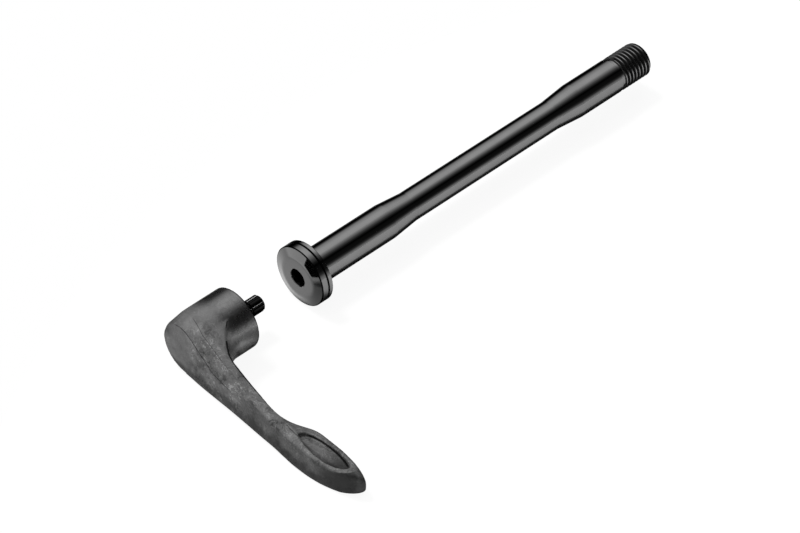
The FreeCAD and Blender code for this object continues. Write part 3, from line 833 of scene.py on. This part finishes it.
def make_bit():
    corner = SHANK_HALF_FLATS / math.cos(SIXTH / 2)
    hexagon = [SHANK_HALF_FLATS / math.cos(turn % SIXTH - SIXTH / 2) for turn in TURNS]
    front, rear = CLIP_GROOVE
    profile = rounded_profile([
        (NOSE, 0.0, 0), (NOSE, NOSE_RADIUS, 0.1), (NOSE - NOSE_CHAMFER, LOBE_RADIUS, 0.1),
        (front, LOBE_RADIUS, 0.04), (front, CLIP_FLOOR, 0.04), (rear, CLIP_FLOOR, 0.04),
        (rear, LOBE_RADIUS, 0.04), (BOSS_FACE, LOBE_RADIUS, 0)])
    rings = [plain_ring(NOSE, 0.0)] + [lobes(x, radius) for x, radius in profile[1:]]
    rings += [[(x, radius) for radius in hexagon] for x in (BOSS_FACE, SHANK_END)]
    rings += [plain_ring(SHANK_END, 0.0)]
    bit = skin_from_rings("bit", rings[::-1])
    bit.data.materials.append(bit_finish)
    set_smooth(bit, 28)
    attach(bit, "lever")
    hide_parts("lever_bit")
    return bit, corner


bit, corner = make_bit()
print("bit:", len(bit.data.polygons), "faces, shank", round(2 * corner, 2), "mm over its corners")

# %% [markdown]
# ## Lever
# Forged carbon: short flat bundles of fibre pressed in every direction, then lacquered to a satin
# sheen. Each bundle catches the light its own way. A cell pattern stands for the bundles, each cell
# with its own grey and its own fibre direction, under slow clouds of darker resin.

# %% Fibre bundles
# How fine each pattern is, per millimetre, and how far in mm the bundles' edges wander.
BUNDLE_SCALE = 0.34
CHIP_SCALE = 0.8
CLOUD_SCALE = 0.11
CURL_SCALE = 0.5
SPREAD_SCALE = 0.2
WANDER_SCALE = 0.45
WANDER_MM = 2.6
STRAND_STRETCH = (0.35, 2.4, 1.1)
# Some chips spark, and only where their streaks are bright.
CHIP_SPARK = (0.8, 1.0)
STREAK_SPARK = (0.5, 0.72)
# Single fibres and dark rims follow the middle level of one noise: how near to it they lie, and
# where another noise lets them show.
FIBRE_LINE, FIBRE_SPREAD = (0.035, 0.008), (0.47, 0.6)
SHADE_LINE, SHADE_SPREAD = (0.12, 0.05), (0.48, 0.38)


def warp(graph, place):
    """Pushes places aside by a slow noise."""
    wander = graph.add("ShaderNodeTexNoise", None, {
        "Vector": place, "Scale": WANDER_SCALE, "Detail": 2.0})
    push = graph.vector("SCALE", wander["Color"])
    push.socket.node.inputs["Scale"].default_value = WANDER_MM
    return graph.vector("ADD", place, push)


def cell_draws(graph, place, scale):
    """Three random numbers for each cell of a pattern."""
    cells = graph.add("ShaderNodeTexVoronoi", None, {"Vector": place, "Scale": scale})
    return graph.add("ShaderNodeSeparateColor", None, {0: cells["Color"]})


def fibre_bundles(graph, place):
    """Each bundle's random numbers, the streaks in it, the dark rims and the bright sparks."""
    warped = warp(graph, place)
    tint = cell_draws(graph, warped, BUNDLE_SCALE)
    chips = cell_draws(graph, warped, CHIP_SCALE)
    lean = graph.add("ShaderNodeVectorRotate", {"rotation_type": "Z_AXIS"}, {
        "Vector": warped, "Angle": tint["Green"] * math.pi})
    strands = graph.add("ShaderNodeMapping", None, {"Vector": lean[0], "Scale": STRAND_STRETCH})
    streak = noise(graph, strands["Vector"], 1.0, 4.0, 0.65)
    curl = (noise(graph, warped, CURL_SCALE) - 0.5).math("ABSOLUTE")
    spread = noise(graph, place, SPREAD_SCALE, 1.0)
    fibres = graph.smooth(curl, *FIBRE_LINE) * graph.smooth(spread, *FIBRE_SPREAD)
    shades = graph.smooth(curl, *SHADE_LINE) * graph.smooth(spread, *SHADE_SPREAD)
    spark = graph.smooth(chips["Red"], *CHIP_SPARK) * graph.smooth(streak, *STREAK_SPARK)
    return tint, streak, shades, spark.math("MAXIMUM", fibres * 0.8)


print("bundles are about", round(1 / BUNDLE_SCALE, 1), "mm wide")

# %% [markdown]
# The lever isn't the same all over. Its boss is calmer than its arm, its top has painted light, and
# the sides that face away from the soft boxes have painted shade. Each such place is a box with
# soft sides, given as an axis with the two places, in mm, where it starts and where it is full.

# %% Painted light, painted shade and calmer places
# Painted light on the top; painted shade on the outer side, end face, tip, far rim, pocket wall and
# underside.
PAINTED_LIGHT_TOP = (("Z", 2.0, 7.0), ("X", -52.0, -49.0), ("X", -40.0, -44.0))
OUTER_SIDE = (("Y", -20.0, -34.0), ("X", -50.0, -51.0))
END_FACE = (("X", -52.2, -52.6), ("Y", -14.0, -6.0))
TIP_SIDE = (("Y", -56.0, -66.0), ("Z", -2.5, -3.6))
BACK_RIM = (("Y", 5.0, 9.0), ("Z", 0.0, 4.0))
# Bands are an axis with from, to and softness.
POCKET_WALL = (("X", -47.9, -45.9, 0.2), ("Z", -3.76, -3.15, 0.07), ("Y", -67.5, -50.5, 1.0))
# Single spans along z, x or y. The calm one has its two levels too.
UNDERSIDE = (-4.0, -8.0)
UNDER_ARM = (-45.0, -48.0)
ARM_SIDE = (-43.0, -45.5)
CALM_BACK = (-6.0, 1.0, 1.0, 0.45)
LIVELY_ARM = (-24.0, -5.0, 3.0)
# The painted shade on the outer side has an upper edge that climbs along the arm: over which y, how
# bent, how high, from where.
EDGE_CLIMB = (-48.0, -24.0)
EDGE_BEND, EDGE_RISE, EDGE_FOOT = 1.6, 4.75, 2.1
# The rim's flat top ends in an ellipse, seen from above, with painted shade past it: its middle and
# its two radii.
TIP_MIDDLE = (-47.6, -64.5)
TIP_RADII = (5.6, 7.1)
# The boss's inner face, darkened with painted shade.
CHAMFER_FACE = (-31.3, -30.9)
MATT_ARM = (-38.0, -45.0)


def soft_box(graph, parts, sides):
    share = 1.0
    for axis, start, full in sides:
        share = graph.smooth(parts[axis], start, full) * share
    return share


print("the rim's flat top ends at y", TIP_MIDDLE[1] - TIP_RADII[1], "mm")

# %% Grey of the bundles, and where shade is painted


def carbon_tone(graph, parts, bundles, clouds):
    """The grey of the bundles: half way between dark and light, plus or minus each pattern."""
    tint, streak, shades, spark = bundles
    arm_side = graph.smooth(parts["X"], *ARM_SIDE)
    calm = graph.smooth(parts["Y"], *CALM_BACK) * (arm_side * 0.55 + 0.45)
    lively = band(graph, parts["Y"], *LIVELY_ARM) * arm_side
    tone = (tint["Red"] - 0.5) * 0.25 + (streak - 0.5) * 1.25 + (clouds - 0.5) * 0.7 - shades * 0.3
    # Painted light: the lever's top is made lighter.
    light = soft_box(graph, parts, PAINTED_LIGHT_TOP) * 0.22
    tone = tone * calm + spark * calm * (lively * 0.8 + 0.6) + light + 0.5
    return tone.math("MAXIMUM", 0.0).math("MINIMUM", 1.4)


def painted_side_shade(graph, parts):
    """Painted shade on the arm's outer side below its climbing edge, and a little on the boss's end
    face.
    """
    climb = graph.smooth(parts["Y"], *EDGE_CLIMB, kind="LINEAR") ** EDGE_BEND
    below = graph.smooth(climb * EDGE_RISE - EDGE_FOOT - parts["Z"], 0.2, 0.9)
    side = below * soft_box(graph, parts, OUTER_SIDE) * 0.5
    return side.math("MAXIMUM", soft_box(graph, parts, END_FACE) * 0.14)


def painted_tip_shade(graph, parts, clouds):
    """Painted shade on the arm's underside, the tip's side, and the tip past the end of the rim's
    flat top.
    """
    ragged = parts["Z"] + (clouds - 0.5) * 14.0
    lower = graph.smooth(ragged, *UNDERSIDE) * 0.7 * graph.smooth(parts["X"], *UNDER_ARM)
    tip = soft_box(graph, parts, TIP_SIDE) * 0.8
    x, y = [((parts[axis] - middle) / radius) ** 2.0
            for axis, middle, radius in zip("XY", TIP_MIDDLE, TIP_RADII)]
    past = graph.smooth(x + y, 0.94, 1.05) * graph.smooth(parts["Y"], -64.0, -67.5)
    past = past * (graph.smooth(parts["X"], -48.6, -50.4) * 0.5 + 0.35)
    return lower.math("MAXIMUM", tip).math("MAXIMUM", past)


def painted_recess_shade(graph, parts):
    """Painted shade on the far rim of the boss and the wall of the pocket in the arm."""
    wall = 0.85
    for axis, low, high, soft in POCKET_WALL:
        wall = band(graph, parts[axis], low, high, soft) * wall
    return (soft_box(graph, parts, BACK_RIM) * 0.55).math("MAXIMUM", wall)


print("the arm's outer side is dark up to z", round(EDGE_RISE - EDGE_FOOT, 2), "mm")

# %% Forged carbon


def forged_carbon():
    material, graph = new_material("forged_carbon")
    place = object_mm(graph)
    parts = graph.add("ShaderNodeSeparateXYZ", None, {0: place})
    bundles = fibre_bundles(graph, place)
    tint, streak, _, _ = bundles
    clouds = noise(graph, place, CLOUD_SCALE, 3.0, 0.55)
    tone = carbon_tone(graph, parts, bundles, clouds)
    colour = graph.mix(tone, grey(0.07), grey(0.3))
    colour.socket.node.clamp_factor = False
    line = graph.add("ShaderNodeAttribute", {"attribute_name": "crease"})["Fac"]
    matt = graph.smooth(parts["X"], *MATT_ARM)
    # Painted shade on the sides, tip, recesses, crease lines and the boss's inner face; the matt
    # arm is a little darker too.
    darker = (
        (painted_side_shade(graph, parts), 0.02),
        (painted_tip_shade(graph, parts, clouds), 0.02),
        (painted_recess_shade(graph, parts), 0.01),
        (graph.smooth(line, 0.1, 0.75), 0.012),
        (graph.smooth(parts["X"], *CHAMFER_FACE), 0.012),
        (matt * 0.2, 0.02),
    )
    for share, level in darker:
        colour = graph.mix(share, colour, grey(level))
    bump = graph.add("ShaderNodeBump", None, {
        "Strength": 0.35, "Distance": 0.03 * MM, "Height": streak})
    finish_material(graph, Base_Color=colour, Metallic=0.95 - matt * 0.4, Specular_Tint=grey(0.15),
                    Roughness=tint["Blue"] * 0.08 + matt * 0.16 + 0.24, Normal=bump[0])
    return material


carbon = forged_carbon()
print("finish:", carbon.name)

# %% [markdown]
# The CAD mesh of the lever is made of flat facets with knife edges, and a Bevel modifier tears on
# its slivers. So the lever is cast afresh: a Remesh modifier covers it in fine even squares, and a
# little smoothing gives every edge the small round that a mould leaves.

# %% Rules for the lever's roundness
# Boxes with soft sides, as for the finish.
TIP = (("Y", -62.0, -69.0),)
BLUNT_TIP = (("Y", -69.0, -73.0),)
OUTER_RIDGE = (("Y", -16.0, -30.0), ("X", -49.5, -51.5), ("Z", -7.5, -5.0))
BLEND = (("X", -50.5, -48.5), ("X", -41.0, -44.0), ("Y", 0.5, -2.0), ("Y", -11.5, -8.0),
         ("Z", 5.5, 7.0))
# The corner where the arm's top runs into the boss: its two ends, and how far its reach goes.
HEEL = (Vector((-46.4, -5.0, 9.2)), Vector((-47.1, -14.3, 5.7)))
HEEL_REACH = (2.2, 0.8)


def ramp(value, low, high):
    """Zero at low, one at high, straight between."""
    return min(max((value - low) / (high - low), 0.0), 1.0)


def within(place, sides):
    """How far a place, in mm, is inside a box with soft sides."""
    share = 1.0
    for axis, start, full in sides:
        share *= ramp(place["XYZ".index(axis)], start, full)
    return share


def near_heel(place):
    """How near a place is to the heel's corner."""
    start, end = HEEL
    length = (end - start).length
    along = ramp((place - start).dot(end - start) / length, 0.0, length)
    foot = start + (end - start).normalized() * along * length
    return ramp((place - foot).length, *HEEL_REACH)


def softness(place):
    return max(within(place, TIP), within(place, OUTER_RIDGE), near_heel(place))


# Each pass has a name, how many times it smooths, and where.
SMOOTHING = (
    ("all", 5, lambda place: 1.0),
    ("soft", 45, softness),
    ("tip", 130, lambda place: within(place, BLUNT_TIP)),
    ("blend", 160, lambda place: within(place, BLEND)),
)
print("passes of smoothing:", ", ".join(f"{name} {times}" for name, times, _ in SMOOTHING))

# %% [markdown]
# Where two faces of the mould meet, the lacquered lever gets a shallow groove with a fine line of
# painted shade, and a few more lines of painted shade follow no edge. Lines along the CAD shape's
# sharp edges are found from the angle between its facets. The lines that follow no edge are drawn
# by their corners.

# %% Creases and lines of painted shade
CREASE_DEGREES = 22
LINE_WIDTH = 0.16 * MM
LINE_STEP = 0.1 * MM
# No crease is drawn along the arm's outer ridge or on the heel's top, nor at the boss's back.
NO_LINE = (
    (("X", -48.2, -49.2), ("Y", -11.5, -13.5)),
    (("X", -51.7, -51.3), ("X", -43.0, -45.0), ("Z", 5.0, 6.0)),
)
LINE_BACK = (("Y", 5.0, 3.5),)
# How dark, how wide against LINE_WIDTH, and the corners in mm. Each is a line of painted shade; the
# last one is a soft band of it along the arm's inner side.
SHADE_LINES = (
    (0.8, 1.0, (-52.72, -12.0, 0.9), (-52.75, -13.9, 0.2), (-52.8, -17.4, -0.8),
     (-52.88, -21.3, -1.65), (-53.05, -25.0, -2.5), (-53.2, -29.0, -3.4)),
    (0.6, 1.0, (-47.87, 0.05, 10.4), (-48.5, -2.3, 10.05), (-49.48, -5.85, 8.65),
     (-50.0, -10.2, 7.2), (-50.62, -15.0, 5.55), (-50.95, -20.0, 3.89), (-51.3, -25.0, 2.36),
     (-51.4, -29.9, 1.0), (-51.7, -34.0, 0.05)),
    (0.35, 1.0, (-47.87, 0.05, 10.4), (-47.1, 2.88, 10.05), (-46.8, 4.82, 9.3), (-46.4, 6.4, 8.3)),
    (0.8, 1.0, (-50.85, -49.4, -2.1), (-50.76, -47.9, -2.0), (-50.6, -45.9, -1.9),
     (-50.3, -43.7, -1.72), (-49.9, -41.4, -1.42), (-49.75, -39.4, -1.1)),
    (1.5, 2.7, (-44.14, -12.0, 7.05), (-46.09, -15.0, 5.96), (-47.33, -18.0, 4.9),
     (-47.82, -21.0, 3.9), (-48.14, -24.0, 2.8), (-48.4, -27.0, 1.98), (-48.67, -30.0, 1.19),
     (-48.98, -33.0, 0.45), (-49.26, -36.0, -0.3), (-49.35, -39.0, -1.0)),
)


def line_strength(point):
    """How dark a crease is drawn at a point."""
    place = point / MM
    strength = within(place, LINE_BACK)
    for sides in NO_LINE:
        strength *= 1.0 - within(place, sides)
    return strength


def along_line(start, end):
    """Points from start to end, LINE_STEP or less apart."""
    count = max(1, math.ceil((end - start).length / LINE_STEP))
    return [start.lerp(end, step / count) for step in range(count + 1)]


def sharp_points(data):
    """Points along a mesh's sharp edges, each with how dark and how wide its line is."""
    mesh = bmesh.new()
    mesh.from_mesh(data)
    points = []
    for edge in mesh.edges:
        if edge.is_manifold and edge.calc_face_angle(0) > math.radians(CREASE_DEGREES):
            points += along_line(*(vertex.co.copy() for vertex in edge.verts))
    mesh.free()
    return [(point, line_strength(point), LINE_WIDTH) for point in points]


def shade_line_points(piece):
    """Points along the drawn lines of painted shade, laid on the piece's skin. Each fades out
    towards its end.
    """
    points = []
    for strength, width, *line_corners in SHADE_LINES:
        corners = [Vector(corner) * MM for corner in line_corners]
        first, last = corners[0].y, corners[-1].y
        for start, end in zip(corners, corners[1:]):
            for point in along_line(start, end):
                _, place, _, _ = piece.closest_point_on_mesh(point)
                fade = ramp(point.y, last, first - (first - last) * 0.4)
                points.append((place, fade * strength, width * LINE_WIDTH))
    return points


print("seams drawn:", len(SHADE_LINES))

# %% Cast the lever in even squares
GRAIN = 0.26 * MM


def merged_copy(source, name):
    """A copy of a CAD node's mesh with its loose triangles joined."""
    data = source.data.copy()
    data.name = name
    data.materials.clear()
    mesh = bmesh.new()
    mesh.from_mesh(data)
    bmesh.ops.remove_doubles(mesh, verts=mesh.verts, dist=0.0005 * MM)
    mesh.to_mesh(data)
    mesh.free()
    return data


def settle(piece):
    """Keeps what the modifiers make as a plain mesh."""
    evaluated = piece.evaluated_get(bpy.context.evaluated_depsgraph_get())
    piece.data = bpy.data.meshes.new_from_object(evaluated)
    piece.modifiers.clear()


def cast_lever():
    data = merged_copy(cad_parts["lever_body"], "lever_facets")
    creases = sharp_points(data)
    lever = bpy.data.objects.new("lever", data)
    scene.collection.objects.link(lever)
    remesh = lever.modifiers.new("even_squares", "REMESH")
    remesh.mode = "VOXEL"
    remesh.voxel_size = GRAIN
    settle(lever)
    places = [vertex.co / MM for vertex in lever.data.vertices]
    for name, times, rule in SMOOTHING:
        group = lever.vertex_groups.new(name=name)
        for index, place in enumerate(places):
            group.add([index], rule(place), "REPLACE")
        smooth = lever.modifiers.new(name, "SMOOTH")
        smooth.factor = 0.5
        smooth.iterations = times
        smooth.vertex_group = name
    settle(lever)
    lever.vertex_groups.clear()
    return lever, creases


lever, creases = cast_lever()
print("lever cast:", len(lever.data.polygons), "faces")

# %% [markdown]
# Each line presses a shallow groove and darkens it with painted shade. A wide soft line may lie
# next to a narrow one, so a point takes the strongest mark of the line points near it, not just the
# nearest one's.

# %% Press the lines
LINE_DEPTH = 0.05 * MM
NEAREST = 24


def press_lines(piece, lines):
    """Presses the lines in, and keeps how dark each point is in the attribute named crease."""
    tree = KDTree(len(lines))
    for index, (point, _, _) in enumerate(lines):
        tree.insert(point, index)
    tree.balance()
    data = piece.data
    marks = []
    for vertex in data.vertices:
        mark = 0.0
        for _, index, away in tree.find_n(vertex.co, NEAREST):
            _, strength, width = lines[index]
            mark = max(mark, math.exp(-(away / width) ** 2) * strength)
        marks.append(min(1.0, mark))
    normals = [Vector(item.vector) for item in data.vertex_normals]
    for vertex, normal, mark in zip(data.vertices, normals, marks):
        vertex.co -= normal * (LINE_DEPTH * mark)
    attribute = data.attributes.new("crease", "FLOAT", "POINT")
    attribute.data.foreach_set("value", marks)
    data.materials.clear()
    data.materials.append(carbon)
    data.shade_smooth()


press_lines(lever, creases + shade_line_points(lever))
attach(lever, "lever")
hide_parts("lever_body")
print("crease lines pressed")

# %% [markdown]
# ## Small metal
# The spring ring, the bit's clip and the sleeve in the boss keep their CAD shapes. Spring wire is
# drawn steel with fine lines along it, and the sleeve is plain turned aluminium.

# %% Plain metals


def plain_metal(name, level, roughness, stretch):
    material, graph = new_material(name)
    lines = noise(graph, object_mm(graph, stretch), 5.0, 3.0, 0.6)
    colour = graph.mix(lines, grey(level * 0.8), grey(level * 1.15))
    bump = graph.add("ShaderNodeBump", None, {
        "Strength": 0.1, "Distance": 0.005 * MM, "Height": lines})
    finish_material(graph, Base_Color=colour, Metallic=1.0, Roughness=lines * 0.12 + roughness,
                    Normal=bump[0])
    return material


def dress_node(name, material):
    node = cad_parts[name]
    node.data.materials.clear()
    node.data.materials.append(material)


spring = plain_metal("spring_steel", 0.3, 0.25, (1.0, 0.1, 0.1))
sleeve = plain_metal("insert_metal", 0.1, 0.3, (1.0, 0.05, 0.05))
dress_node("washer_keeper", spring)
dress_node("bit_clip", bit_finish)
dress_node("lever_insert", sleeve)
print("small metal dressed")
